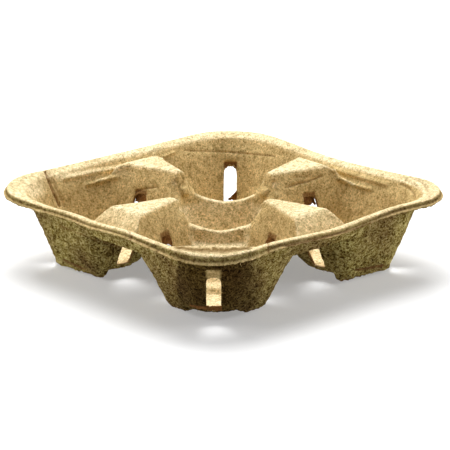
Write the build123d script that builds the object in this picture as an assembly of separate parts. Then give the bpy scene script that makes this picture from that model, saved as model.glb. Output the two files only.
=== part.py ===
from build123d import *
import os
from math import atan, cos, radians, sqrt, tan

# Four-cup carrier of moulded paper pulp: one thin sheet, pressed over a mould and dried.
# The part stands on the feet of its wells. Millimetres, +Z up, sides square to X and Y.
# A word on the two plan directions: "side" distances run from the middle of the tray
# square to a side, "diagonal" distances run from the middle towards a corner.

# The pulp sheet and the drafts that let it leave the mould
sheet = 2.0
draft = 25.0
crater_draft = 20.0

# Tray wall and rim
rim_span = 216.0
rim_height = 53.2
flange_width = 8.0
base_corner_radius = 10.0
rim_corner_radius = 40.5
rim_pinch = 1.5
skirt_depth = 6.1
skirt_flare = 15.0
lip_height = 1.2
lip_proud = 0.7
rim_bend = 2.6
rim_inner_bend = 2.2

# Humps between the wells
hump_rise = 1.2
hump_nose_half_width = 2.4
hump_end_setback = 21.3
hump_end_half_width = 13.4
hump_drop = 13.4
hump_edge_bend = 3.0
arch_top = 36.5

# Wells: a channel pressed up along the diagonal leaves each one standing on two feet
well_floor_width = 42.0
well_floor_depth = 13.5
arch_corner_base = 6.0
arch_corner_top = 12.0
well_back_base = 6.0
well_back_top = 24.0
shelf_height = 25.0
shelf_depth = 3.2
heel_bend = 6.5
channel_height = 3.6
channel_half_width = 12.0
channel_flare = 50.0
toe_length = 20.1
toe_rise = 12.0

# Crater in the middle and the ridges that part it from the wells
ridge_height = 33.5
ridge_middle = 30.3
ridge_width = 3.9
ridge_flat = 26.0
ridge_end_height = 38.6
ridge_end_at = 19.6
crater_nose_width = 13.8
crater_floor = 6.0
crater_corner = 5.0

# Upright slots through the well walls, each in a shallow recess that reaches above it
slot_width = 8.7
slot_bend = 3.4
corner_slot_top = 32.5
hump_slot_top = 36.5
hump_slot_setback = 14.0
recess_depth = 0.7
recess_bend = 0.6
inner_recess_top = 36.5
outer_recess_top = 39.0
hump_recess_top = 40.0

# Thin gap between wall and bottom around the outer corner of each well
gap_height = 1.2
gap_half_length = 15.0

# Small upright lugs on the crater's short walls that keep stacked trays from jamming
lug_radius = 2.2
lug_length = 7.0
lug_end_bend = 1.0
lug_below_top = 9.4
lug_apart = 11.4

# Room for cuts that run past the faces they open
over = 1.0
# How far hidden walls reach into each other where two bodies are joined
join = 0.05


slope = tan(radians(draft))
crater_slope = tan(radians(crater_draft))
skin = sheet / cos(radians(draft))
crater_skin = sheet / cos(radians(crater_draft))
skirt_lean = tan(radians(skirt_flare))
rim_half = rim_span / 2
rim_corner_centre = rim_half - rim_corner_radius
skirt_half = rim_half - lip_proud
base_half = skirt_half - skirt_lean * skirt_depth - flange_width + skin - slope * rim_height
wall_corner_centre = base_half - base_corner_radius
arch_half_base = base_half - well_floor_width
well_back_at = base_half - well_floor_depth
hump_top = rim_height + hump_rise
crater_long_at = ridge_middle - ridge_width / 2
crater_nose_at = sqrt(2) * crater_long_at - crater_nose_width / 2
hump_nose_at = crater_nose_at + crater_slope * (hump_top - ridge_height)
hump_end_at = base_half + slope * hump_top - hump_end_setback
hump_widening = (hump_end_half_width - hump_nose_half_width) / (hump_end_at - hump_nose_at)
ridge_edge = ridge_middle + ridge_width / 2
back_slope = (well_back_at - shelf_depth - ridge_edge) / ridge_height
toe_slope = tan(radians(toe_rise))
toe_end = sqrt(2) * base_half
toe_at = toe_end - toe_length
toe_floor = channel_height + sheet + toe_slope * toe_length
corner_wall = sqrt(2) * wall_corner_centre
corner_reach = sqrt(2) * rim_half
quarters = [0, 90, 180, 270]
# Upright plane along the diagonal: its X runs outwards and its Y runs up
diagonal_section = Plane(origin=(0, 0, 0), x_dir=(1, 1, 0), z_dir=(1, -1, 0))


def wall_half(z):
    """Half width of the outer tray wall at a height."""
    return base_half + slope * z


def tub(inset, bottom, top):
    """The drafted square body of the tray, shrunk sideways by an inset."""
    faces = []
    for z in (bottom, top):
        half = wall_half(z) - inset
        outline = RectangleRounded(2 * half, 2 * half, half - wall_corner_centre)
        faces.append(Plane.XY.offset(z) * outline)
    return loft(faces, ruled=True)


def rim_outline(half, z):
    """Square with round corners whose sides are drawn in a little half way along."""
    bend = half - rim_corner_centre
    reach = (rim_corner_centre**2 + rim_pinch**2) / (2 * rim_pinch)
    along = rim_corner_centre * (1 - bend / reach)
    across = rim_corner_centre + bend * (1 - rim_pinch / reach)
    waist = half - rim_pinch
    tip = rim_corner_centre + bend / sqrt(2)
    side = ThreePointArc((across, -along), (waist, 0), (across, along))
    corner = ThreePointArc((across, along), (tip, tip), (along, across))
    arcs = [Rot(0, 0, angle) * arc for angle in quarters for arc in (side, corner)]
    return Plane.XY.offset(z) * make_face(Curve() + arcs)


def rim_ring(half, bottom, top):
    """A band of the rim that leans out towards its lower edge."""
    lean = skirt_lean * (top - bottom)
    return loft([rim_outline(half, bottom), rim_outline(half - lean, top)], ruled=True)


def back_at(z):
    """Diagonal distance of a well's crater-side wall at a height."""
    return ridge_edge + back_slope * (ridge_height - z)


def well_corners(z, half_width, widening, grow, side_grow):
    """Corners of a well's plan, between two humps of this half width at the tray wall."""
    side = wall_half(z) - skin + side_grow
    start = half_width - grow * sqrt(1 + widening**2) - widening * hump_end_at
    at_side = start + widening * side
    back = sqrt(2) * (back_at(z) - grow)
    far = (back - start) / (1 + widening)
    near = back - far
    plan = [(side, at_side), (side, side), (at_side, side), (near, far), (far, near)]
    return [Vector(x, y) for x, y in plan]


def well_outline(z, grow, side_grow):
    """Plan of one well at a height, in the quarter where X and Y are positive."""
    low = well_corners(0, arch_half_base + skin, 0, grow, side_grow)
    high = well_corners(hump_top, hump_end_half_width, hump_widening, grow, side_grow)
    share = z / hump_top
    corners = [a * (1 - share) + b * share for a, b in zip(low, high)]
    arch_bend = arch_corner_base + share * (arch_corner_top - arch_corner_base) + grow
    back_bend = well_back_base + share * (well_back_top - well_back_base) + grow
    side_bend = corners[1].X - wall_corner_centre
    bends = [arch_bend, side_bend, arch_bend, back_bend, back_bend]
    face = make_face(Polyline(*corners, close=True))
    for point, bend in zip(corners, bends):
        face = fillet(face.vertices().sort_by_distance(point)[0], bend)
    return Plane.XY.offset(z) * face


def channel(rise):
    """Space under a well between its two feet, which gets higher towards the outer corner."""
    flare = tan(radians(channel_flare))
    high_end = channel_height + toe_slope * (corner_reach - toe_at)
    faces = []
    for at, height in [(toe_at, channel_height), (corner_reach, high_end)]:
        half = channel_half_width
        foot_half = half + flare * (height + over)
        section = Plane(
            origin=(at / sqrt(2), at / sqrt(2), rise), x_dir=(-1, 1, 0), z_dir=(1, 1, 0)
        )
        profile = [(-foot_half, -over), (foot_half, -over), (half, height), (-half, height)]
        faces.append(section * make_face(Polyline(*profile, close=True)))
    return extrude(faces[0], -toe_at) + loft(faces, ruled=True)


def well(grow, side_grow, bottom, top):
    """Space of one well, or with grow the body that its outer skin bounds."""
    outlines = [well_outline(z, grow, side_grow) for z in (bottom, top)]
    body = loft(outlines, ruled=True)
    base = body.faces().sort_by(Axis.Z)[0]
    body = fillet(base.edges(), heel_bend - sheet + grow)
    rise = 0 if grow else sheet
    shelf_top = shelf_height - sheet + rise
    shelf_front = [back_at(z) + shelf_depth - grow for z in (bottom - over, shelf_top)]
    shelf = Polyline(
        (0, bottom - over),
        (shelf_front[0], bottom - over),
        (shelf_front[1], shelf_top),
        (0, shelf_top),
        close=True,
    )
    body -= extrude(diagonal_section * make_face(shelf), base_half, both=True)
    return body - channel(rise)


def crater(grow, bottom, top):
    """Eight-sided bowl in the middle, with its short sides at the humps' noses."""
    faces = []
    for z in (bottom, top):
        spread = crater_slope * (z - ridge_height) + grow
        long_side = crater_long_at + spread
        nose = crater_nose_at + spread
        square = Rectangle(2 * nose, 2 * nose)
        diamond = Rot(0, 0, 45) * Rectangle(2 * long_side, 2 * long_side)
        face = square & diamond
        bend = crater_corner + crater_slope * (z - crater_floor) + grow
        faces.append(Plane.XY.offset(z) * fillet(face.vertices(), bend))
    return loft(faces, ruled=True)


def below_roof(drop, bottom):
    """Everything under the humps' tops and outer ends, lowered by a drop."""
    valley_at = wall_half(hump_top - hump_drop) - skin
    fall = hump_drop / (valley_at - hump_end_at)
    end = hump_end_at - drop * tan(atan(fall) / 2)
    eaves = hump_top - drop - fall * (rim_half - end)
    profile = Polyline(
        (-rim_half, bottom),
        (-rim_half, eaves),
        (-end, hump_top - drop),
        (end, hump_top - drop),
        (rim_half, eaves),
        (rim_half, bottom),
        close=True,
    )
    along_y = extrude(Plane.XZ * make_face(profile), rim_half, both=True)
    return along_y & (Rot(0, 0, 90) * along_y)


def above_ridge(drop):
    """Space over one ridge's crest, which is flat in the middle and rises at its ends."""
    crest = ridge_height - drop
    ends = ridge_end_height - drop
    profile = Polyline(
        (-ridge_end_at, ends),
        (-ridge_flat / 2, crest),
        (ridge_flat / 2, crest),
        (ridge_end_at, ends),
        (ridge_end_at, hump_top),
        (-ridge_end_at, hump_top),
        close=True,
    )
    middle = ridge_middle / sqrt(2)
    across = Plane(origin=(middle, middle, 0), x_dir=(-1, 1, 0), z_dir=(1, 1, 0))
    return extrude(across * make_face(profile), 2 * ridge_width, both=True)


def slot_cutter(width, bottom, top, bend, inner, outer):
    """Upright cutter with a round-topped outline that runs outwards along X."""
    outline = Pos(0, (bottom + top) / 2) * Rectangle(width, top - bottom)
    upper = outline.vertices().group_by(Axis.Y)[-1]
    face = Plane.YZ.offset(inner) * fillet(upper, bend)
    return extrude(face, outer - inner)


def around(bodies):
    return [Rot(0, 0, angle) * body for angle in quarters for body in bodies]


def mirrored(body):
    """A body and its twin on the other side of the diagonal."""
    return [body, mirror(body, diagonal_section)]


# Rim: the flange, its turned-down skirt and the thin proud lip along the skirt's edge
skirt_foot = rim_height - skirt_depth
rim = rim_ring(skirt_half, skirt_foot, rim_height)
rim += rim_ring(rim_half, skirt_foot, skirt_foot + lip_height)
pocket_half = skirt_half - sheet + skirt_lean * over
rim -= rim_ring(pocket_half, skirt_foot - over, rim_height - sheet)
shell = rim + tub(0, 0, rim_height)
shell -= tub(skin, sheet, rim_height + over)
flange = shell.faces().sort_by(Axis.Z)[-1]
shell = fillet(flange.outer_wire().edges(), rim_bend)
flange = shell.faces().filter_by(Plane.XY).sort_by(Axis.Z)[-1]
shell = fillet(flange.inner_wires()[0].edges(), rim_inner_bend)

# Humps and ridges: what the wells and the crater leave standing inside the tub
inside = tub(skin / 2, sheet / 2, hump_top) & below_roof(0, 0)
inside -= around([well(0, join, sheet, hump_top + over)])
inside -= crater(0, crater_floor, hump_top + over)
tops = inside.faces().filter_by(Plane.XY)
tops = tops.filter_by_position(Axis.Z, hump_top - join, hump_top + join)
inside = fillet(tops.edges(), hump_edge_bend)
tray = shell + inside

# Hollow under the humps and ridges, open to the ground and out through the side arches
hollow = below_roof(sheet, -over) & tub(skin, -over, hump_top)
hollow += Pos(0, 0, (arch_top - over) / 2) * Box(rim_span, rim_span, arch_top + over)
hollow -= around([well(skin, skin + join, 0, hump_top)])
hollow -= crater(crater_skin, crater_floor - sheet, hump_top)
hollow -= around([above_ridge(sheet)])
tray -= hollow
tray -= around([above_ridge(0)])

# Slots: one through the outer corner of each well and one through each wall at a hump
corner_cutters = [
    Rot(0, 0, 45) * slot_cutter(slot_width, toe_floor, top, bend, corner_wall, corner_reach)
    for top, bend in [
        (corner_slot_top, slot_bend),
        (inner_recess_top, recess_bend),
        (outer_recess_top, slot_bend),
    ]
]
corner_slot = corner_cutters[0]
inner_recess = corner_cutters[1] & tub(skin - recess_depth, 0, rim_height)
outer_recess = corner_cutters[2] - tub(recess_depth, 0, rim_height)
hump_cutters = [
    Pos(base_half - hump_slot_setback, 0, 0)
    * Rot(0, 0, 90)
    * slot_cutter(slot_width, heel_bend, top, bend, hump_end_half_width, base_half)
    for top, bend in [(hump_slot_top, slot_bend), (hump_recess_top, recess_bend)]
]
hump_recess = hump_cutters[1] & well(recess_depth, join, sheet, hump_top)
cutters = [corner_slot, inner_recess, outer_recess]
cutters += mirrored(hump_cutters[0]) + mirrored(hump_recess)
tray -= around(cutters)

# Gap: around the outer corner the wall has come away from the bottom
gap_ends = [toe_floor - toe_slope * toe_length, toe_floor + toe_slope * (corner_reach - toe_end)]
gap = Polyline(
    (toe_at, gap_ends[0]),
    (corner_reach, gap_ends[1]),
    (corner_reach, gap_ends[1] + gap_height),
    (toe_at, gap_ends[0] + gap_height),
    close=True,
)
tray -= around([extrude(diagonal_section * make_face(gap), gap_half_length, both=True)])

# Lugs: upright beads on the middle of the sheet, two at each hump's nose
lug = Pos(0, 0, -lug_length / 2) * extrude(RegularPolygon(lug_radius, 8), lug_length)
lug = chamfer(lug.faces().filter_by(Plane.XY).edges(), lug_end_bend)
nose = hump_nose_at - crater_slope * lug_below_top + crater_skin / 2
lug = Pos(nose, lug_apart / 2, hump_top - lug_below_top) * Rot(0, crater_draft, 0) * lug
tray += around([lug, mirror(lug, Plane.XZ)])

os.makedirs("parts", exist_ok=True)
export_step(tray.solids()[0], "parts/carrier_tray.step")
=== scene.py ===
# %% [markdown]
# # A four-cup carrier of moulded paper pulp
#
# The tray is one sheet of pulp. A wire-mesh mould is dipped in a slurry of waste paper,
# water is drawn through it, and the mat of fibres that stays on the mesh is dried. That
# gives two very different faces: the side that lay on the mesh is fairly smooth, and the
# free side is rough and lumpy. The frame holds the tray's exact form, and this script
# gives it the surface, the edges and the small accidents of the real sheet.

from math import cos, pi, radians, sin, sqrt

import bmesh
import bpy
import numpy as np
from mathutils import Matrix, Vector, noise


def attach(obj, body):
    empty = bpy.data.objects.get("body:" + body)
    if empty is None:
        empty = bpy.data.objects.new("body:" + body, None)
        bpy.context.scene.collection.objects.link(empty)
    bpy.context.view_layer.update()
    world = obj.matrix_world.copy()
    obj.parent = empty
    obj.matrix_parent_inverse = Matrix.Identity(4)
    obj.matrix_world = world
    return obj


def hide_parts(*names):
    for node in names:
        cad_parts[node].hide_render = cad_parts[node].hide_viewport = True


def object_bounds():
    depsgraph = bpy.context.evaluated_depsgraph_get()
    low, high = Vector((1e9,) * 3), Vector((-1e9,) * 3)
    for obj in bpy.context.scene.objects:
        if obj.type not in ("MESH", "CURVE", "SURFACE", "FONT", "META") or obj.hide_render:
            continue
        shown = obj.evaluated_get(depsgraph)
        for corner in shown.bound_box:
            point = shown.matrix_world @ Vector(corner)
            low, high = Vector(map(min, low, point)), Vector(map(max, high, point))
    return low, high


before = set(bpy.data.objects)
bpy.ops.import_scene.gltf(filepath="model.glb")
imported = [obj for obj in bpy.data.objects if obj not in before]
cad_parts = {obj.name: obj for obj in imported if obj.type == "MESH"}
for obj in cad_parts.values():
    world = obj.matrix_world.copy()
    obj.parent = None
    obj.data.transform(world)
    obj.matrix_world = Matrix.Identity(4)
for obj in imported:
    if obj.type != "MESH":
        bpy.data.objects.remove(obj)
cad_low, cad_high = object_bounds()
MM = 0.001
print("the frame is", [round(v / MM, 1) for v in cad_high - cad_low], "mm")

# %% [markdown]
# The camera comes first, because every later choice is judged through it. The photograph
# was taken with a long lens from a little above the rim, with one corner of the tray
# towards the viewer. A long lens far away keeps the back corner nearly as large as the
# front one. The place is worked out from four facts: how high the camera stands, how far
# away it is, how the tray is turned, and where the middle of its foot appears.

# %% Camera
camera_height_angle = radians(17.9)
camera_distance = 1.3692
camera_sees_until = 20
tray_turn = radians(45 - 2.6)
foot_right_of_axis = -0.00147
foot_above_axis = -0.02631
pixels_per_metre_at_tray = 1574.6
frame_width = 450
sensor_width = 36.0

right = Vector((cos(tray_turn), -sin(tray_turn), 0))
ahead = Vector((sin(tray_turn), cos(tray_turn), 0)) * cos(camera_height_angle)
ahead.z = -sin(camera_height_angle)
upwards = right.cross(ahead)
camera_data = bpy.data.cameras.new("photo_camera")
camera = bpy.data.objects.new("photo_camera", camera_data)
bpy.context.scene.collection.objects.link(camera)
bpy.context.scene.camera = camera
camera_data.sensor_width = sensor_width
camera_data.lens = pixels_per_metre_at_tray * camera_distance / frame_width * sensor_width
camera_data.clip_end = camera_sees_until
camera.location = -(
    right * foot_right_of_axis + upwards * foot_above_axis + ahead * camera_distance
)
camera.rotation_mode = "QUATERNION"
camera.rotation_quaternion = ahead.to_track_quat("-Z", "Y")
print("camera with a", round(camera_data.lens), "mm lens")

# %% [markdown]
# The stage is a plain pale floor. It is a wide sheet at the height of the tray's feet, and
# it glows a little, as a light table does, which keeps the shadow on it faint. A grid
# operator with one square is enough for it.

# %% Floor
floor_size = 12.0
floor_grey = 0.66
floor_glow = 0.3


def principled_material(name, roughness):
    """A new material, its node tree and its one shader."""
    material = bpy.data.materials.new(name)
    material.use_nodes = True
    shader = material.node_tree.nodes["Principled BSDF"]
    shader.inputs["Roughness"].default_value = roughness
    return material, material.node_tree, shader


def object_from(bm, name, material):
    """Puts a bmesh into the scene as an object at the origin."""
    mesh = bpy.data.meshes.new(name)
    bm.to_mesh(mesh)
    bm.free()
    mesh.materials.append(material)
    made = bpy.data.objects.new(name, mesh)
    bpy.context.scene.collection.objects.link(made)
    return made


floor_paint, _, floor_shader = principled_material("floor_paint", 0.9)
floor_shader.inputs["Base Color"].default_value = (floor_grey, floor_grey, floor_grey, 1)
floor_shader.inputs["Emission Color"].default_value = (1, 1, 1, 1)
floor_shader.inputs["Emission Strength"].default_value = floor_glow
floor_sheet = bmesh.new()
bmesh.ops.create_grid(floor_sheet, x_segments=1, y_segments=1, size=floor_size / 2)
floor = object_from(floor_sheet, "floor", floor_paint)
print("floor of", floor_size, "m")

# %% [markdown]
# The photograph was lit from high above and from both sides, with nothing bright behind
# the camera. So faces that look up are pale cream, walls that look left or right are a
# middle tan, and what faces the viewer under the rim is dark. Three large square lamps give
# that, and their size keeps every shadow soft. Places are given from the camera's side,
# because that is how the photograph shows them.

# %% Light
# Painted light and shade in the pulp's colour add to what the lamps give: paler tops, darker faces of
# the front well and the rim.
sky_strength = 0.1

world = bpy.data.worlds.new("studio")
bpy.context.scene.world = world
world.use_nodes = True
sky = world.node_tree.nodes["Background"]
sky.inputs["Color"].default_value = (1, 1, 1, 1)
sky.inputs["Strength"].default_value = sky_strength
bpy.context.scene.view_settings.view_transform = "Standard"

# each lamp: to the right, towards the camera and up in metres, the height it looks at,
# the length of its side in metres, and its power in watts
lamps = {
    "top_lamp": ((-0.1, -0.45, 1.5), 0.0, 1.3, 42),
    "left_lamp": ((-1.3, -0.15, 0.45), 0.02, 0.8, 11),
    "right_lamp": ((1.3, -0.15, 0.45), 0.02, 0.8, 10),
}


def beside_camera(across, towards, height):
    """A place given from the camera's side: to its right, towards it, and up."""
    flat_ahead = Vector((ahead.x, ahead.y, 0)).normalized()
    return right * across - flat_ahead * towards + Vector((0, 0, height))


def soft_lamp(name, place, aim, size, power):
    """A square area lamp that looks at a point."""
    data = bpy.data.lights.new(name, "AREA")
    data.size = size
    data.energy = power
    lamp = bpy.data.objects.new(name, data)
    bpy.context.scene.collection.objects.link(lamp)
    lamp.location = place
    lamp.rotation_mode = "QUATERNION"
    lamp.rotation_quaternion = (aim - place).to_track_quat("-Z", "Y")


for name, (place, aim_height, size, power) in lamps.items():
    soft_lamp(name, beside_camera(*place), Vector((0, 0, aim_height)), size, power)
print("lamps:", list(lamps))

# %% [markdown]
# Pulp has two faces. The one that lay on the mould is smooth and pale with fine specks.
# The other is rough and felted and far darker, partly from dirt between its fibres and partly as
# painted shade, since it lies mostly on the outer walls and the underside.
# Two materials would meet at a hard line, so one does both: each point of the mesh carries
# a number, felt, that says how much of the rough face it has, and the material mixes by it.
# A few helpers keep the node trees short.

# %% Helpers for materials
def new_node(tree, kind, **inputs):
    """Adds a node and fills the inputs that are given by name."""
    node = tree.nodes.new(kind)
    for name, value in inputs.items():
        node.inputs[name.replace("_", " ")].default_value = value
    return node


def object_place(tree):
    """Coordinates that stay with the piece."""
    return tree.nodes.new("ShaderNodeTexCoord").outputs["Object"]


def point_number(tree, name):
    """A number that the mesh carries at each of its points."""
    node = tree.nodes.new("ShaderNodeAttribute")
    node.attribute_name = name
    return node.outputs["Fac"]


def noise_node(tree, place, scale, detail, rough=0.6, distortion=0.0):
    """Cloudy noise; scale is features per metre."""
    node = new_node(
        tree, "ShaderNodeTexNoise",
        Scale=scale, Detail=detail, Roughness=rough, Distortion=distortion,
    )
    tree.links.new(place, node.inputs["Vector"])
    return node.outputs["Fac"]


def ramp(tree, source, stops):
    """Maps a number to a colour through (position, colour) stops."""
    node = tree.nodes.new("ShaderNodeValToRGB")
    bar = node.color_ramp.elements
    while len(bar) < len(stops):
        bar.new(0.5)
    for element, (position, colour) in zip(bar, stops):
        element.position = position
        element.color = (*colour, 1)
    tree.links.new(source, node.inputs["Fac"])
    return node.outputs["Color"]


def feed(tree, target, value):
    """Sets an input to a number or a colour, or links a socket to it."""
    if isinstance(value, float):
        target.default_value = value
    elif isinstance(value, tuple):
        target.default_value = (*value, 1)
    else:
        tree.links.new(value, target)


def mix_colour(tree, factor, a, b, blend="MIX"):
    """Mixes two colours; each part is a socket, or a number or colour."""
    node = tree.nodes.new("ShaderNodeMix")
    node.data_type = "RGBA"
    node.blend_type = blend
    feed(tree, node.inputs["Factor"], factor)
    for name, value in (("A", a), ("B", b)):
        feed(tree, [i for i in node.inputs if i.name == name and i.type == "RGBA"][0], value)
    return [o for o in node.outputs if o.type == "RGBA"][0]


def maths(tree, operation, a, b):
    """One step of arithmetic between sockets or numbers."""
    node = tree.nodes.new("ShaderNodeMath")
    node.operation = operation
    feed(tree, node.inputs[0], a)
    feed(tree, node.inputs[1], b)
    return node.outputs[0]


def add_relief(tree, shader, height, strength, distance):
    """Lets a pattern tilt the shading, as fine relief does."""
    bump = new_node(tree, "ShaderNodeBump", Strength=strength, Distance=distance)
    tree.links.new(height, bump.inputs["Height"])
    tree.links.new(bump.outputs["Normal"], shader.inputs["Normal"])


print("helpers ready")

# %% [markdown]
# The smooth face is tan on the walls and cream where it looks up; the cream is painted light, mixed in
# by a number that the points carry. Over that lie blotches a few millimetres wide and specks of under
# one millimetre: bits of ink, bark and pale fibre. They are multiplied over the base colour, so that
# they darken it or lighten it without changing its hue much.

# %% Colours of the smooth face
wall_tans = (
    (0.3, (0.45, 0.325, 0.145)), (0.5, (0.54, 0.4, 0.185)), (0.72, (0.61, 0.47, 0.235)),
)
# painted light: a paler copy of the wall tans for what looks up
painted_light_creams = (
    (0.3, (0.66, 0.53, 0.31)), (0.5, (0.75, 0.62, 0.38)), (0.72, (0.82, 0.7, 0.46)),
)
blotch_tints = (
    (0.34, (0.56, 0.52, 0.42)), (0.5, (0.98, 0.97, 0.94)), (0.66, (1.2, 1.19, 1.22)),
)
speck_tints = (
    (0.34, (0.3, 0.3, 0.14)), (0.45, (0.9, 0.9, 0.86)), (0.57, (1.06, 1.04, 1.02)),
    (0.68, (1.65, 1.5, 1.55)),
)
clouds_per_metre = 45
blotches_per_metre = 330
specks_per_metre = 880


def smooth_face(tree, place, specks):
    """Colour of the face that lay on the mould, with painted light where it looks up."""
    clouds = noise_node(tree, place, clouds_per_metre, 3)
    walls = ramp(tree, clouds, wall_tans)
    tops = ramp(tree, clouds, painted_light_creams)
    colour = mix_colour(tree, point_number(tree, "painted_light"), walls, tops)
    blotches = noise_node(tree, place, blotches_per_metre, 4, 0.7)
    colour = mix_colour(tree, 0.85, colour, ramp(tree, blotches, blotch_tints), "MULTIPLY")
    return mix_colour(tree, 0.8, colour, ramp(tree, specks, speck_tints), "MULTIPLY")


print(len(speck_tints), "tints of speck")

# %% [markdown]
# The rough face is a felt of curled threads. Where smooth noise crosses its middle value it
# does so along curled lines, so the distance from that value is small on a line and large
# beside it. Two such patterns, coarse and fine, give pale threads over dark gaps. Broad
# stains turn them between olive and a purple brown.

# %% Colours of the rough face
# the darkest browns are partly painted shade, for the outer walls and underside
thread_and_shade_browns = (
    (0.0, (0.56, 0.48, 0.23)), (0.03, (0.34, 0.26, 0.088)), (0.075, (0.125, 0.078, 0.015)),
    (0.15, (0.042, 0.021, 0.003)),
)
stain_tints = ((0.35, (0.55, 0.44, 0.42)), (0.65, (1.15, 1.18, 1.0)))
threads_per_metre = 265
fine_threads_per_metre = 600
stains_per_metre = 30


def off_line(tree, pattern, middle):
    """How far a pattern is from its middle value."""
    return maths(tree, "ABSOLUTE", maths(tree, "SUBTRACT", pattern, middle), 0.0)


def off_threads(tree, place):
    """0 on a thread, and more beside it."""
    coarse = noise_node(tree, place, threads_per_metre, 2, 0.5, 1.3)
    fine = noise_node(tree, place, fine_threads_per_metre, 2, 0.5, 0.8)
    fine_gap = maths(tree, "ADD", off_line(tree, fine, 0.47), 0.02)
    return maths(tree, "MINIMUM", off_line(tree, coarse, 0.5), fine_gap)


def rough_face(tree, place, gaps):
    """Colour of the felted face."""
    stains = noise_node(tree, place, stains_per_metre, 3)
    colour = ramp(tree, gaps, thread_and_shade_browns)
    return mix_colour(tree, 0.85, colour, ramp(tree, stains, stain_tints), "MULTIPLY")


print(len(thread_and_shade_browns), "browns from thread to gap")

# %% [markdown]
# The finished material mixes the two faces and adds two more numbers that the points carry: one for
# the red brown inside of the sheet where it is cut, which also paints shade in grooves, slits, creases
# and recesses, and one for painted shade. Pulp has no shine, so it is fully rough. Its relief is too
# fine for the mesh and is given by bump: grain on the smooth face, threads on the rough one.

# %% Pulp material
# the inner pulp's red brown, also used as painted shade
cut_and_shade_browns = ((0.35, (0.1, 0.04, 0.013)), (0.6, (0.24, 0.115, 0.04)))
painted_shade_tint = (0.2, 0.145, 0.09)
grain_per_metre = 700
thread_relief = -9.0


def pulp_material():
    """Smooth speckled pulp that turns to dark felted pulp where felt is 1."""
    material, tree, shader = principled_material("pulp", 1.0)
    shader.inputs["Specular IOR Level"].default_value = 0.02
    place = object_place(tree)
    felt_here = point_number(tree, "felt")
    specks = noise_node(tree, place, specks_per_metre, 2, 0.8)
    gaps = off_threads(tree, place)

    smooth = smooth_face(tree, place, specks)
    colour = mix_colour(tree, felt_here, smooth, rough_face(tree, place, gaps))
    colour = mix_colour(tree, point_number(tree, "cut_and_shade"), colour, ramp(tree, specks, cut_and_shade_browns))
    # painted shade, multiplied in where the points carry it
    darker = mix_colour(tree, 1.0, colour, painted_shade_tint, "MULTIPLY")
    colour = mix_colour(tree, point_number(tree, "painted_shade"), colour, darker)
    tree.links.new(colour, shader.inputs["Base Color"])

    relief = tree.nodes.new("ShaderNodeMix")
    tree.links.new(felt_here, relief.inputs["Factor"])
    tree.links.new(noise_node(tree, place, grain_per_metre, 4, 0.7), relief.inputs["A"])
    tree.links.new(maths(tree, "MULTIPLY", gaps, thread_relief), relief.inputs["B"])
    add_relief(tree, shader, relief.outputs["Result"], 0.75, 0.6 * MM)
    return material


pulp = pulp_material()
print("pulp material with", len(pulp.node_tree.nodes), "nodes")

# %% [markdown]
# The tray itself starts from the frame's own mesh, so it keeps the true form. That mesh is
# loose triangles of very uneven size, which can't carry small dents. So a copy is merged
# and remeshed with small even squares. Subdividing would keep the uneven triangles, and
# remeshing also takes the knife edge off each corner, as wet pulp does.

# %% An even mesh over the tray's form
pulp_voxel = 0.9 * MM
merge_within = 0.01 * MM

bm = bmesh.new()
bm.from_mesh(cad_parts["carrier_tray"].data)
bmesh.ops.remove_doubles(bm, verts=bm.verts, dist=merge_within)
tray = object_from(bm, "carrier_pulp", pulp)


def with_modifier(thing, kind, **settings):
    """The mesh that a thing has after one modifier, which then is gone again."""
    modifier = thing.modifiers.new(kind.lower(), kind)
    for name, value in settings.items():
        setattr(modifier, name, value)
    depsgraph = bpy.context.evaluated_depsgraph_get()
    mesh = bpy.data.meshes.new_from_object(thing.evaluated_get(depsgraph))
    thing.modifiers.remove(modifier)
    return mesh


even = with_modifier(tray, "REMESH", mode="VOXEL", voxel_size=pulp_voxel)
tray.data = even
print("even mesh:", len(even.vertices), "points")

# %% [markdown]
# The mesh goes into arrays in millimetres, because the next steps move every point a
# little, and an array moves them all at once. A sculpting brush could do the same by hand,
# but a formula gives the same tray on every run.

# %% Points and helpers
points = np.empty(3 * len(even.vertices), dtype=np.float32)
even.vertices.foreach_get("co", points)
points = points.reshape(-1, 3).astype(float) / MM
facing = np.empty(3 * len(even.vertices), dtype=np.float32)
even.vertices.foreach_get("normal", facing)
facing = facing.reshape(-1, 3).astype(float)


def smoothstep(value, low, high):
    """0 below low, 1 above high, and a soft ramp between."""
    share = np.clip((value - low) / (high - low), 0, 1)
    return share * share * (3 - 2 * share)


def noise_over(where, size, seed):
    """Soft noise from -1 to 1 with lumps of about this size in millimetres."""
    moved = where / size + np.array([seed * 17.3, seed * 5.1, seed * 9.7])
    return np.array([noise.noise(p) for p in moved.tolist()])


print("highest point:", round(float(points[:, 2].max()), 1), "mm")

# %% [markdown]
# The frame has two small beads at the nose of each hump, and the real tray has one in the
# middle. The two are flattened here by drawing their points towards the middle of their
# neighbours again and again, which pulls a skin flat over them as a soap film would be.

# %% Two beads flattened
bead_aside, bead_half = 5.7, 3.4
bead_height, bead_half_height = 45, 5.2
nose_within = 43
film_rounds = 90


def smoothed(where, chosen, rounds):
    """Chosen points drawn towards the middle of their neighbours, so that bumps flatten."""
    ends = np.empty(2 * len(even.edges), dtype=np.int32)
    even.edges.foreach_get("vertices", ends)
    ends = ends.reshape(-1, 2)
    ends = ends[chosen[ends].any(axis=1)]
    ends = np.concatenate([ends, ends[:, ::-1]])
    ends = ends[chosen[ends[:, 0]]]
    index = np.unique(ends[:, 0])
    slot = np.searchsorted(index, ends[:, 0])
    count = np.bincount(slot)[:, None]
    where = where.copy()
    for _ in range(rounds):
        total = np.stack([np.bincount(slot, where[ends[:, 1], k]) for k in range(3)], axis=1)
        where[index] = total / count
    return where


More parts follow.
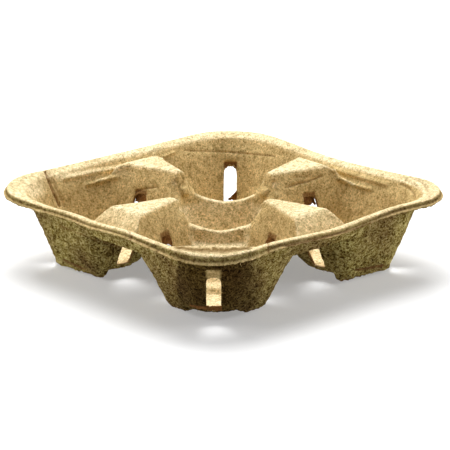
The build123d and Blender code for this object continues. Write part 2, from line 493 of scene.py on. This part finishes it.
from_middle = np.sort(abs(points[:, :2]), axis=1)
at_bead = (abs(from_middle[:, 0] - bead_aside) < bead_half) & (from_middle[:, 1] < nose_within)
at_bead &= abs(points[:, 2] - bead_height) < bead_half_height
points = smoothed(points, at_bead, film_rounds)
print("smoothed at the beads:", int(at_bead.sum()), "points")

# %% [markdown]
# The tray has four equal quarters, so most places are easiest to name by how far they lie
# from its middle: along a diagonal, across it, and out towards a side. The same cell marks
# which face of the sheet each point is on.

# %% Directions, and which face of the sheet each point is on
corner_centre = 67.0

x, y, z = points.T
along = (abs(x) + abs(y)) / sqrt(2)
across = (abs(x) - abs(y)) / sqrt(2)
out = np.maximum(abs(x), abs(y))
aside = np.minimum(abs(x), abs(y))
past_corner = np.hypot(abs(x) - corner_centre, abs(y) - corner_centre)
out_round = np.where(aside > corner_centre, corner_centre + past_corner, out)
bearing = np.degrees(np.arctan2(y, x))
at_front = (x < 0) & (y < 0)
wide_in_x = abs(x) > abs(y)
looks_up = facing[:, 2]
underside = looks_up < -0.2
felt = 1 - smoothstep(looks_up, -0.32, 0.0)
cut_and_shade = np.zeros(len(points))


def lifted(rise):
    """The shift of points that only move up or down."""
    return np.stack([0 * x, 0 * x, rise], axis=1)


def drawn_out(step):
    """The shift of points that move away from the middle along their diagonal."""
    return np.stack([step * np.sign(x), step * np.sign(y), 0 * z], axis=1) / sqrt(2)


def drawn_to_axis(step):
    """The shift of points that move towards the axis of their hump."""
    return -np.stack([step * np.sign(x) * ~wide_in_x, step * np.sign(y) * wide_in_x, 0 * z], axis=1)


def drawn_to_crater(step):
    """The shift of points that move towards the crater, square to the tray's side."""
    return -np.stack([step * np.sign(x) * wide_in_x, step * np.sign(y) * ~wide_in_x, 0 * z], axis=1)


print("rough face:", round(100 * felt.mean()), "percent of the points")

# %% [markdown]
# The real tray was pressed and pulled off its mould while it was damp, so it isn't as
# regular as the frame. The bottoms of its wells are pushed up towards the middle of the
# tray and beside the arches, three of its four toes hang lower than the one in front, and
# the walls beside each arch lean in at their foot.

# %% Bottoms, toes and arches
tray_height = 54.4
bottom_lift = 5.0
bottom_lift_top = 20
bottom_lift_until = 66.0
crater_until = 38
side_lift_until = 70.0
side_lift_within = 41.0
toe_drop = 7.5
toe_start, toe_end = 86, 106
toe_top = 40
arch_step_at_middle, arch_step_fall, most_arch_step = 17.9, 0.2, 6


def push_up_bottoms():
    """Squeezes up what lies low on the crater side of each well and beside the arches."""
    near_crater = 1 - smoothstep(along, bottom_lift_until, bottom_lift_until + 2.5)
    beside_arch = 1 - smoothstep(out, side_lift_until, side_lift_until + 2)
    beside_arch = beside_arch * (1 - smoothstep(aside, side_lift_within, side_lift_within + 2))
    lift = bottom_lift * np.maximum(near_crater, beside_arch)
    lift = lift * smoothstep(along, crater_until, crater_until + 2)
    return lifted(lift * np.clip(1 - z / bottom_lift_top, 0, 1))


def lower_toes():
    """Lets the outer corners of three wells hang lower than the one in front."""
    drop = toe_drop * smoothstep(along, toe_start, toe_end) * np.clip(1 - z / toe_top, 0, 1)
    return lifted(np.where(at_front, 0, -drop))


def narrow_arches():
    """Draws the foot of the walls beside each arch towards the hump's axis."""
    step = np.clip(arch_step_at_middle - arch_step_fall * out, 0, most_arch_step)
    step = step * np.clip(1 - z / tray_height, 0, 1)
    return drawn_to_axis(step * smoothstep(abs(across), 5, 15) * smoothstep(aside, 8, 20))


warp = push_up_bottoms() + lower_toes() + narrow_arches()
print("largest warp low down:", round(float(np.abs(warp).max()), 1), "mm")

# %% [markdown]
# The rim was the last to dry and moved the most. Its flange tips inwards, its skirt is a
# little shorter along the sides than at the front, and it sways up and down by a millimetre
# or two. The two side corners were bent outwards by hand. Each move is a soft ramp, so the
# sheet bends and never breaks.

# %% A warped rim
flange_out = 105.6
flange_width = 8
flange_drop = 2.5
skirt_inside = 101.5
skirt_rise = 1.3
corner_flare = 2.4
flare_spread = 15

# where the rim sags or lifts: the bearing from the middle, in degrees, how far in mm, and
# over how many degrees
rim_sway = [
    (0, -1.7, 17), (-90, -1.6, 14), (-121, 1.1, 9), (-63, 1.1, 10), (-135, -1.2, 7),
    (-163, 1.1, 10), (152, -1.4, 12), (90, 0.9, 22), (178, -0.5, 7),
]
inner_share = np.clip((flange_out - out_round) / flange_width, 0, 1)


def tilt_flange():
    """Lowers the inner edge of the flange, and makes the skirt a little shorter."""
    high = smoothstep(z, 40, 52) * smoothstep(out_round, 84, 94)
    in_skirt = (out_round > skirt_inside) & (z < 53)
    rise = skirt_rise * in_skirt * (1 - smoothstep(z, 47.5, 52.5))
    rise = rise * np.where(at_front, smoothstep(abs(across), 20, 40), 1)
    return lifted(rise - flange_drop * inner_share * high)


def sway_rim():
    """Lifts and lowers the rim and the upper part of the wall under it."""
    rise = 0 * x
    for middle, height, spread in rim_sway:
        turn = (bearing - middle + 180) % 360 - 180
        rise += height * np.exp(-((turn / spread) ** 2))
    return lifted(rise * smoothstep(out, 84, 101) * smoothstep(z, 20, 48))


def flare_corners():
    """Pushes the rim outwards at the left and right corners."""
    from_side_corner = (abs(bearing - 45) - 90) / flare_spread
    push = corner_flare * np.exp(-(from_side_corner**2))
    return drawn_out(push * smoothstep(out_round, 95, 106))


warp += tilt_flange() + sway_rim() + flare_corners()
print("largest warp with the rim:", round(float(np.abs(warp).max()), 1), "mm")

# %% [markdown]
# In the middle of the tray each well has a broad shelf on its crater side, where a cup's
# foot sits. Behind it a low ridge keeps the cup off the crater, and its crest is one even
# curve. The bead on each hump's nose is pressed out here too.

# %% Shelves, ridges and one bead
shelf_at = 25.0
shelf_raise = 1.2
shelf_reach = 0.49
ridge_height = 33.5
ridge_flat_until = 13
ridge_end_at = 19.6
ridge_end_rise = 5.1
bead_stands_out = 2.5


def broaden_shelves():
    """Draws the wall above each shelf back towards the crater."""
    back = shelf_reach * np.clip(ridge_height - z, 0, ridge_height - shelf_at)
    beside = 1 - smoothstep(abs(across), 12, 17)
    wall = smoothstep(z, shelf_at - 1.6, shelf_at - 0.4) * smoothstep(along, 29.5, 31.5)
    wall = wall * beside * (1 - smoothstep(along, 38.6, 41.4))
    shelf = smoothstep(z, 20, shelf_at) * (1 - smoothstep(z, shelf_at, ridge_height))
    shelf = shelf * beside * smoothstep(along, 31, 34) * (1 - smoothstep(along, 43, 46))
    return drawn_out(-back * wall) + lifted(shelf_raise * shelf)


def curve_ridges():
    """Turns each ridge's crest from a straight bar with raised ends into one even curve."""
    share = np.clip(abs(across) / ridge_end_at, 0, 1)
    past_flat = np.clip((abs(across) - ridge_flat_until) / (ridge_end_at - ridge_flat_until), 0, 1)
    rise = -0.2 + 5.3 * share**1.5 - ridge_end_rise * past_flat
    rise = rise * smoothstep(z, 20, 31) * smoothstep(along, 23, 28)
    rise = rise * (1 - smoothstep(along, 33, 37))
    return lifted(rise * (1 - smoothstep(abs(across), 19, 20.5)))


def press_beads():
    """Presses out one bead in the middle of each hump's nose."""
    at_nose = (out < 46) & (looks_up > -0.25) & (z < 50)
    bead = 1 - smoothstep(aside, 1.9, 3.4)
    bead = bead * smoothstep(z, 37.5, 41) * (1 - smoothstep(z, 43.6, 45.2))
    return drawn_to_crater(bead_stands_out * bead * at_nose)


warp += broaden_shelves() + curve_ridges() + press_beads()
print("largest warp with the shelves:", round(float(np.abs(warp).max()), 1), "mm")

# %% [markdown]
# At the front corner the inner edge of the flange doesn't follow the round of the wall. It
# runs straight across the corner, so the flange is far wider there. The top of the wall and
# the flange are stretched inwards to that line, and the outer face stays where it is.

# %% A straight edge at the front corner
corner_bend_at = 92.02
corner_bend = 35.4
straight_edge_at = 116.3
straight_edge_half = 24.5
stretch_over = 5
front_edge_rise = 1.5

flange_edge = corner_bend_at + np.sqrt(np.maximum(corner_bend**2 - across**2, 0))


def straighten_front_edge():
    """Brings the flange's inner edge at the front corner in to a straight line."""
    in_front = at_front & (abs(across) < straight_edge_half) & (z > 26)
    on_top = (looks_up > 0.3) & (z > 49)
    chosen = in_front & ((facing[:, 0] + facing[:, 1] > 0.2) | on_top)
    stretch = (flange_edge + stretch_over - along) * (flange_edge - straight_edge_at) / stretch_over
    shift = np.clip(np.minimum(stretch, along - straight_edge_at), 0, None)
    rise = front_edge_rise * inner_share * smoothstep(z, 46, 52)
    rise = rise * (1 - smoothstep(abs(across), 14, 24))
    return drawn_out(-shift * chosen) + lifted(rise * chosen)


warp += straighten_front_edge()
print("largest warp:", round(float(np.abs(warp).max()), 1), "mm")

# %% [markdown]
# Many small marks are plain to see in the photograph: ledges beside the back humps, creases
# in the side corners, folds on the humps, and cracks across the rim. Each one is drawn
# later as a line over the photograph's frame, in pixels, so this cell works out where each
# point of the mesh appears there. Marks go only on what the camera sees: the frame is
# divided into small cells, and a point is seen if none in its cell is much nearer.

# %% What the camera sees
cell_pixels = 2
seen_within = 7


def to_picture(where):
    """Place in the photograph's frame of points in millimetres, and their depth."""
    away = where * MM - np.array(camera.location)
    depth = away @ np.array(ahead)
    scale = pixels_per_metre_at_tray * camera_distance / depth
    across_frame = frame_width / 2 + scale * (away @ np.array(right))
    down_frame = frame_width / 2 - scale * (away @ np.array(upwards))
    return np.stack([across_frame, down_frame], axis=1), depth / MM


picture, depth = to_picture(points + warp)
cell_count = frame_width // cell_pixels
cells = np.clip(picture / cell_pixels, 0, cell_count - 1).astype(int)
nearest = np.full((cell_count, cell_count), np.inf)
np.minimum.at(nearest, (cells[:, 1], cells[:, 0]), depth)
seen = depth < nearest[cells[:, 1], cells[:, 0]] + seen_within
seen &= facing @ np.array(ahead) < 0.1
print("seen by the camera:", round(100 * seen.mean()), "percent of the points")

# %% [markdown]
# Each mark is a short line of pixels with a width in pixels, a height in millimetres that is negative
# where the mark is pressed in, and a darkness. The darkness is the brown inside of the sheet where a
# crack goes through the skin, and painted shade in the creases, folds, nick and wrinkle, in the foot
# slits and along the lines under the skirt. A mark fades out softly on both sides of its line.

# %% Marks that are placed by the photograph
# darkness: inner pulp on cracks, painted shade on creases, folds, slits and under the skirt
marks = {
    "left back ledge": ([(127, 166.5), (96, 172), (64, 179)], 2.4, 1.7, 0),
    "lower left back ledge": ([(117, 177), (102, 181), (87, 185)], 1.7, 1.4, 0),
    "ledge over the left hump": ([(162, 158), (168, 155), (174, 152.5)], 1.6, 1.3, 0),
    "right back ledge": ([(334, 169.5), (360, 176.5), (386, 184)], 2.4, 1.7, 0),
    "lower right back ledge": ([(338, 178.5), (354, 184.5), (371, 189)], 1.8, 1.4, 0),
    "left corner crease": ([(44, 169), (52, 188), (60, 206)], 1.3, -1.7, 0.8),
    "beside the left crease": ([(48.5, 171), (57, 190), (65, 207)], 1.1, -1.0, 0.35),
    "outer right fold": ([(411, 177), (421, 181), (428, 189), (430, 196)], 1.2, -1.2, 0.35),
    "middle right fold": ([(406, 180), (415, 184.5), (421, 192), (422, 199)], 1.2, -1.2, 0.3),
    "inner right fold": ([(401, 184), (409, 189), (414, 196), (414, 202)], 1.2, -1.0, 0.25),
    "back corner crease": ([(185, 150.6), (230, 152.5), (274, 157)], 0.8, -0.6, 0.3),
    "fold on the left hump": ([(136, 191.5), (146, 189), (156, 187.5)], 1.0, -1.0, 0.4),
    "nick on the left hump": ([(151, 184), (157, 186.5), (160, 191)], 0.9, -0.5, 0.15),
    "fold on the right hump": ([(288, 187), (300, 183), (309, 181), (320, 176)], 1.0, -0.9, 0.4),
    "wrinkle on the right hump": ([(292, 178), (302, 176.5), (312, 177.5)], 0.9, -0.4, 0.1),
    "crack in the left rim": ([(129.5, 230), (131, 236), (130, 242)], 0.8, -0.8, 0.75),
    "crack left of the front": ([(156.5, 250.5), (157, 254)], 0.7, -0.6, 0.6),
    "crack along the skirt": ([(174, 254.5), (181, 258), (189, 260)], 0.8, -0.7, 0.55),
    "crack right of the front": ([(249.5, 252.5), (249, 260)], 0.7, -0.7, 0.5),
    "crack in the right rim": ([(268.5, 243), (269.5, 253)], 0.9, -0.9, 0.85),
    "crack by the left corner": ([(39, 205.5), (43, 210), (47, 214.5)], 0.8, -0.7, 0.5),
    "painted shadow under the right skirt": ([(286, 246.5), (318, 239), (350, 230.5), (392, 217.5)], 1.1, -1.0, 0.8),
    "painted shadow under the left skirt": ([(60, 226), (90, 238.5), (122, 248)], 0.8, -0.6, 0.5),
    "slit in the left foot": ([(63, 260.8), (73, 265.5), (84, 270.3)], 1.3, -1.2, 1.0),
    "slit in the right foot": ([(357, 270.5), (370, 269), (384, 266)], 1.3, -1.2, 1.0),
}


def near_line(line, width):
    """1 on a line of pixels and 0 away from it, over a width in pixels."""
    best = np.full(len(picture), np.inf)
    for a, b in zip(line[:-1], line[1:]):
        a, b = np.array(a, dtype=float), np.array(b, dtype=float)
        share = np.clip((picture - a) @ (b - a) / ((b - a) @ (b - a)), 0, 1)
        best = np.minimum(best, np.linalg.norm(picture - a - share[:, None] * (b - a), axis=1))
    return np.exp(-((best / width) ** 2)) * seen


pressed = np.zeros(len(points))
for line, width, height, darkness in marks.values():
    near = near_line(line, width)
    pressed += height * near
    cut_and_shade = np.maximum(cut_and_shade, darkness * near)
print(len(marks), "marks")

# %% [markdown]
# The slots were cut through while the pulp was damp. Their edges show the inner pulp, which is a
# darker red brown than the skin on either side of it, and the recess inside each corner slot gets the
# same dark colour as painted shadow. A painted mask would need an image, so the places are worked out
# from the slots' own sizes.

# %% Cut edges and recesses
base_half = 75.07
hump_slot_at = base_half - 14.0
hump_slot_bottom, hump_slot_top = 6.6, 39.8
slot_half = 8.7 / 2
recess_depth = 0.7

at_hump_slot = 1 - smoothstep(abs(out - hump_slot_at), slot_half + 0.1, slot_half + 0.7)
at_hump_slot *= smoothstep(z, hump_slot_bottom - 0.8, hump_slot_bottom)
at_hump_slot *= 1 - smoothstep(z, hump_slot_top, hump_slot_top + 0.6)
at_hump_slot *= 1 - smoothstep(aside, 37, 39)
at_corner_slot = 1 - smoothstep(abs(across), slot_half - 0.2, slot_half + 0.3)
at_corner_slot *= smoothstep(along, 100, 102) * smoothstep(z, 31, 32.5)
inner_recess = at_corner_slot * (1 - smoothstep(z, 36.0, 36.5)) * (1 - felt)
outer_recess = at_corner_slot * (1 - smoothstep(z, 38.6, 39.4)) * felt
cut_and_shade = np.maximum(cut_and_shade, 0.8 * at_hump_slot)
# painted shadow in the recess of each corner slot
cut_and_shade = np.maximum(cut_and_shade, 0.92 * inner_recess)
pressed -= recess_depth * inner_recess
felt = felt * (1 - 0.8 * outer_recess)
print("cut or cracked:", round(100 * float((cut_and_shade > 0.3).mean()), 1), "percent of the points")

# %% [markdown]
# Then comes the pulp's own unevenness. Slow waves move both faces together, so the sheet
# keeps its thickness. On the rough face there are lumps and a mat of curled threads, made
# in the same way as in the material but large enough for the mesh. The smooth face has only
# a faint grain.

# %% Waves, lumps and threads
def threads_over(where, size, seed):
    """1 along curled lines and 0 between them."""
    bend = 0.5 * size * np.stack([noise_over(where, size, seed + k) for k in (1, 2, 3)], axis=1)
    return 1 - smoothstep(np.abs(noise_over(where + bend, 1.3 * size, seed)), 0.02, 0.2)


wave_size, wave_height = 34, 0.45
thread_size = 3.6

waves = wave_height * np.stack([noise_over(points, wave_size, k) for k in (5, 6, 7)], axis=1)
lumps = 0.3 * noise_over(points, 9, 3) + 0.28 * noise_over(points, 4.2, 4)
threads = threads_over(points, thread_size, 21)
grain = 0.09 * noise_over(points, 5.5, 8) + 0.05 * noise_over(points, 2.2, 9)
dimples = felt * (0.75 * lumps + 0.34 * threads - 0.2) + (1 - felt) * grain
print("dimples of up to", round(float(np.abs(dimples).max()), 1), "mm")

# %% [markdown]
# Two more numbers paint light and shade. Painted shade darkens the face of the front well, up to the
# edge where the well turns to its left side. Painted light makes paler what looks up, and the crater.

# %% Painted light and shade
front_foot = -92
front_reach = 50

from_front = ((x - front_foot) ** 2 + (y - front_foot) ** 2) / front_reach**2
# painted shade on the face of the front well
painted_shade = 0.95 * felt * np.exp(-(from_front**2))
painted_shade = painted_shade * (1 - smoothstep(across, 20.5, 23)) * (1 - smoothstep(-across, 19, 30))
# painted light on what looks up and in the crater
in_crater = (out_round < 40) & (z < 33) & (looks_up > 0)
painted_light = np.maximum(smoothstep(looks_up, 0.45, 0.9), 0.9 * in_crater)
print("worn:", round(100 * painted_light.mean()), "percent of the points")

# %% [markdown]
# The skirt hangs from the flange's outer edge. Its outer face is rough like the wall below, with a
# shallow groove over a thin pale lip; the rough face darkens it partly as painted shade, and a painted
# shadow line lies in the groove. The lower edges of the skirt and of the wells are ragged, because
# that is where the wet sheet tore from the mesh.

# %% Skirt and ragged feet
skirt_from = 48.4
groove_at, groove_half, groove_depth = 49.3, 0.8, 0.45

ragged = noise_over(points, 3.4, 31) + 0.6 * noise_over(points, 1.5, 32)
skirt_edge = smoothstep(out, 101.5, 104) * (1 - smoothstep(z, 47.4, 49.2))
feet = (1 - smoothstep(z, 1.2, 5.5)) * underside
skirt = smoothstep(out_round, 104, 105.5) * (1 - smoothstep(looks_up, 0.35, 0.7))
skirt = skirt * (z > skirt_from)
groove = skirt * np.exp(-(((z - groove_at) / groove_half) ** 2))
pressed -= groove_depth * groove
# painted shadow line along the groove
cut_and_shade = np.maximum(cut_and_shade, 0.4 * groove)
# the skirt's rough face, partly painted shade
felt = np.maximum(felt, 0.85 * skirt)
torn_foot = (1 - smoothstep(z + 1.2 * np.abs(ragged), 1.2, 2.6)) * underside
cut_and_shade = np.maximum(cut_and_shade, 0.75 * torn_foot)
ragged_rise = 0.6 * skirt_edge * ragged + 2.0 * feet * np.abs(ragged)
print("ragged by up to", round(float(np.abs(ragged_rise).max()), 1), "mm")

# %% [markdown]
# Last for the surface: the wide flange at the front corner slopes towards the viewer and gets painted
# shade, apart from its bright inner edge, and so does the upper part of the skirt on the two front
# sides. The left corner and the wall behind it get painted light.

# %% Painted shade and painted light
front_band = at_front & (looks_up > 0.2) & (z > 49) & (along > straight_edge_at)
front_band = front_band * (1 - smoothstep(abs(across), 20, 24))
front_band = front_band * (1 - smoothstep(out_round, 102.5, 104.5))
front_band = front_band * (1 - smoothstep(flange_edge - along, -0.6, 0.2))
# painted shade on the wide front flange, apart from its inner edge
painted_light = painted_light * (1 - front_band)
painted_shade = np.maximum(painted_shade, 0.85 * front_band)
# painted shade on the upper skirt of the two front sides
painted_shade = np.maximum(painted_shade, 0.35 * skirt * (x + y < 40) * (abs(z - 51) < 1.9))

pale_corner_at, pale_corner_half = (30, 186), 15
from_pale_corner = (((picture - pale_corner_at) / pale_corner_half) ** 2).sum(axis=1)
pale_corner = np.exp(-(from_pale_corner**2)) * seen
pale_wall = near_line([(58, 176), (98, 172), (124, 168)], 4.0)
# painted light on the left corner and the wall behind it
painted_light = np.maximum(painted_light, 0.9 * np.maximum(pale_corner, pale_wall) * (1 - felt))
print("damp:", round(100 * float((painted_shade > 0.3).mean()), 1), "percent of the points")

# %% [markdown]
# All the shifts are added up and the points go back into the mesh. They are clipped to the
# tray's own box with a hair to spare, because the frame's size is the true one. The mesh is
# then thinned where it is flat, so that it stays light, and the four numbers travel with it
# as attributes.

# %% Points back into the mesh
most_triangles = 196000
hair = 0.03

points = points + warp + waves + facing * (pressed + dimples)[:, None] + lifted(ragged_rise)
low = np.array(cad_low) / MM + (hair, hair, 0)
high = np.array(cad_high) / MM - hair
points = np.clip(points, low, high)
even.vertices.foreach_set("co", (points * MM).astype(np.float32).ravel())
for name, value in (("felt", felt), ("cut_and_shade", cut_and_shade), ("painted_light", painted_light), ("painted_shade", painted_shade)):
    even.attributes.new(name, "FLOAT", "POINT").data.foreach_set("value", value.astype(np.float32))
even.update()
triangles = 2 * len(even.polygons)
if triangles > most_triangles:
    tray.data = with_modifier(tray, "DECIMATE", ratio=most_triangles / triangles)
tray.data.shade_smooth()
print("tray mesh:", len(tray.data.polygons), "faces with", [a.name for a in tray.data.attributes])

# %% [markdown]
# Where a slot was cut, a flap of inner pulp often stays behind. It has no skin, so it is redder than
# the tray, streaky and quite rough, and it gets a material of its own, whose dark brown also serves as
# painted shade at the top of the humps' slots.

# %% Torn pulp material
# dark brown of torn pulp, also painted shade at the top of the humps' slots
torn_and_shade_browns = ((0.3, (0.06, 0.022, 0.006)), (0.6, (0.2, 0.09, 0.025)))


def torn_pulp_and_shade_material():
    """Brown inner pulp without a skin, whose dark brown also serves as painted shade."""
    material, tree, shader = principled_material("torn_pulp_and_shade", 1.0)
    shader.inputs["Specular IOR Level"].default_value = 0.1
    streaks = noise_node(tree, object_place(tree), 900, 4, 0.7)
    tree.links.new(ramp(tree, streaks, torn_and_shade_browns), shader.inputs["Base Color"])
    add_relief(tree, shader, streaks, 0.6, 0.4 * MM)
    return material


torn_pulp_and_shade = torn_pulp_and_shade_material()
print("torn pulp with", len(torn_pulp_and_shade.node_tree.nodes), "nodes")

# %% [markdown]
# A torn flap hangs in the top of each hump's two slots, a dark sheet that also stands in for the shade
# there. Each is a grid bent onto the hump's wall, with a lower edge that follows noise, as a tear
# does. One solidify at the end gives all the flaps their thickness.

# %% Flaps in the humps' slots
flap_thickness = 0.7
flap_half = slot_half + 0.6
flap_top = 37.2
flap_length = 5.4


def slot_wall_aside(height):
    """How far the middle of a hump's wall is from the hump's axis, at its slot."""
    return 34.3 - 0.4974 * height - 4.8 * (1 - height / tray_height)


flaps_bm = bmesh.new()
# painted shade: dark flaps at the top of the humps' slots
for number in range(8):
    quarter, side = divmod(number, 2)
    turn = quarter * pi / 2
    grid = bmesh.ops.create_grid(flaps_bm, x_segments=16, y_segments=8, size=1.0)["verts"]
    for vert in grid:
        sideways = vert.co.x * flap_half
        share = (1 - vert.co.y) / 2
        torn = flap_length + 1.5 * noise.noise((sideways / 2.2, number * 3.7, 0.4))
        torn += 0.6 * noise.noise((sideways / 0.8, number * 1.9, 2.2))
        height = flap_top - share * torn
        swell = 0.5 * noise.noise((sideways / 3, share * 2, number * 2.3))
        a = hump_slot_at + sideways
        b = (slot_wall_aside(height) + swell) * (1 if side else -1)
        vert.co = Vector((a * cos(turn) - b * sin(turn), a * sin(turn) + b * cos(turn), height)) * MM
print("flaps in the humps:", len(flaps_bm.faces), "faces")

# %% [markdown]
# Two more hang at the corner slots: a long strip under the front one, and a small tag in
# the back one. They lie on the wall's rounded corner, so a small function turns a distance
# along the wall into a place. Each has an upper and a lower edge as a few heights.

# %% Torn bits at the corner slots
wall_corner_centre = 65.07

# each bit: the side it is on, its ends along the wall, the wall's radius there, and the
# heights of its upper and lower edge, in mm
corner_bits = {
    "front strip": (
        -1, -4.6, 18.0, 15.7,
        ((-4.6, 12.5), (4, 12.3), (18, 10.0)), ((-4.6, 9.6), (6, 9.7), (18, 9.2)),
    ),
    "back tag": (
        1, -1.2, 4.4, 15.4,
        ((-1.2, 12.2), (0.6, 13.2), (1.6, 14.2), (4.4, 17.8)), ((-1.2, 11.2), (4.4, 10.5)),
    ),
}


def round_corner(along_wall, radius):
    """A point on the wall's rounded corner, or on the flat wall beside it."""
    quarter_arc = radius * pi / 4
    if abs(along_wall) <= quarter_arc:
        angle = pi / 4 - along_wall / radius
        return wall_corner_centre + radius * cos(angle), wall_corner_centre + radius * sin(angle)
    flat = wall_corner_centre - (abs(along_wall) - quarter_arc)
    past = wall_corner_centre + radius
    return (past, flat) if along_wall > 0 else (flat, past)


for number, (side, first, last, radius, upper, lower) in enumerate(corner_bits.values()):
    grid = bmesh.ops.create_grid(flaps_bm, x_segments=36, y_segments=5, size=1.0)["verts"]
    for vert in grid:
        at = first + (last - first) * (vert.co.x + 1) / 2
        jag = 0.5 * noise.noise((at / 1.1, number * 5.3, 1.7))
        top = np.interp(at, *zip(*upper)) + jag
        bottom = np.interp(at, *zip(*lower)) + 1.6 * jag
        height = bottom + (top - bottom) * (vert.co.y + 1) / 2
        bulge = 0.35 * noise.noise((at / 2.5, height / 2, number * 3.1))
        a, b = round_corner(at, radius + bulge)
        vert.co = Vector((side * a, side * b, height)) * MM
bmesh.ops.recalc_face_normals(flaps_bm, faces=flaps_bm.faces)
bmesh.ops.solidify(flaps_bm, geom=list(flaps_bm.faces), thickness=flap_thickness * MM)
flaps = object_from(flaps_bm, "slot_flaps", torn_pulp_and_shade)
print("flaps:", len(flaps.data.polygons), "faces")

# %% [markdown]
# Single fibres stand off the torn edges. Hair curves would be lost in the export, so each
# fibre is a small mesh: a grid rolled into a tube of four sides along a curled path, which
# tapers to a point. The seam and the tip are merged and the foot is closed.

# %% How one fibre is made
fibre_steps = 6
fibre_sides = 4
fibre_curl = 0.55


def curled_path(start, direction, length, seed):
    """Places along a fibre, each with two directions square to its heading."""
    place, heading = Vector(start), Vector(direction).normalized()
    path = []
    for step in range(fibre_steps + 1):
        curl = noise.noise_vector((seed * 1.3, step * 0.45, 0.7))
        heading = (heading + fibre_curl * curl).normalized()
        one = heading.orthogonal().normalized()
        path.append((place, one, heading.cross(one)))
        place = place + heading * (length / fibre_steps)
    return path


def add_fibre(bm, start, direction, length, radius, seed):
    """One bent fibre that tapers to a point."""
    path = curled_path(start, direction, length, seed)
    grid = bmesh.ops.create_grid(bm, x_segments=fibre_sides, y_segments=fibre_steps, size=1.0)["verts"]
    for vert in grid:
        step = round((vert.co.y + 1) / 2 * fibre_steps)
        side = round((vert.co.x + 1) / 2 * fibre_sides) % fibre_sides
        place, one, two = path[step]
        corner = (one, two, -one, -two)[side]
        vert.co = (place + corner * radius * (1 - step / fibre_steps)) * MM
    bmesh.ops.remove_doubles(bm, verts=grid, dist=0.001 * MM)


print("a fibre has", fibre_steps, "steps")

# %% [markdown]
# The fibres start where the tray is torn: at the wells' feet, along the skirt's lower edge
# and low in the humps' slots. A fixed seed picks the same spots on every run.

# %% Loose fibres
fibre_count = 150
shortest_fibre, longest_fibre = 1.2, 3.6
thinnest_fibre, thickest_fibre = 0.12, 0.3
rooted = 0.3

chance = np.random.default_rng(7)
at_feet = (z < 6) & (out > 60) & (looks_up < -0.3)
at_skirt_edge = (out > 104) & (z < 48) & (looks_up < -0.4)
low_in_slot = (at_hump_slot > 0.5) & (z < 12)
torn_spots = np.where(((cut_and_shade < 0.5) & (at_feet | at_skirt_edge)) | low_in_slot)[0]
fibres_bm = bmesh.new()
for number, spot in enumerate(chance.choice(torn_spots, fibre_count, replace=False)):
    start = points[spot] - rooted * facing[spot]
    direction = facing[spot] + chance.normal(0, 0.7, 3)
    length = chance.uniform(shortest_fibre, longest_fibre)
    radius = chance.uniform(thinnest_fibre, thickest_fibre)
    add_fibre(fibres_bm, start, direction, length, radius, number)
open_feet = [edge for edge in fibres_bm.edges if edge.is_boundary]
bmesh.ops.holes_fill(fibres_bm, edges=open_feet, sides=fibre_sides)
bmesh.ops.recalc_face_normals(fibres_bm, faces=fibres_bm.faces)
for vert in fibres_bm.verts:
    vert.co = Vector(np.clip(vert.co, low * MM, high * MM))
fibres = object_from(fibres_bm, "loose_fibres", pulp)
print("fibres:", fibre_count, "with", len(fibres.data.polygons), "faces")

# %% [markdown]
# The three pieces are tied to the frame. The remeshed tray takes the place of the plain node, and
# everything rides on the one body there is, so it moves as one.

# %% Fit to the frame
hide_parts("carrier_tray")
for piece in (tray, flaps, fibres):
    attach(piece, "root")
print("pieces:", [piece.name for piece in (tray, flaps, fibres)])
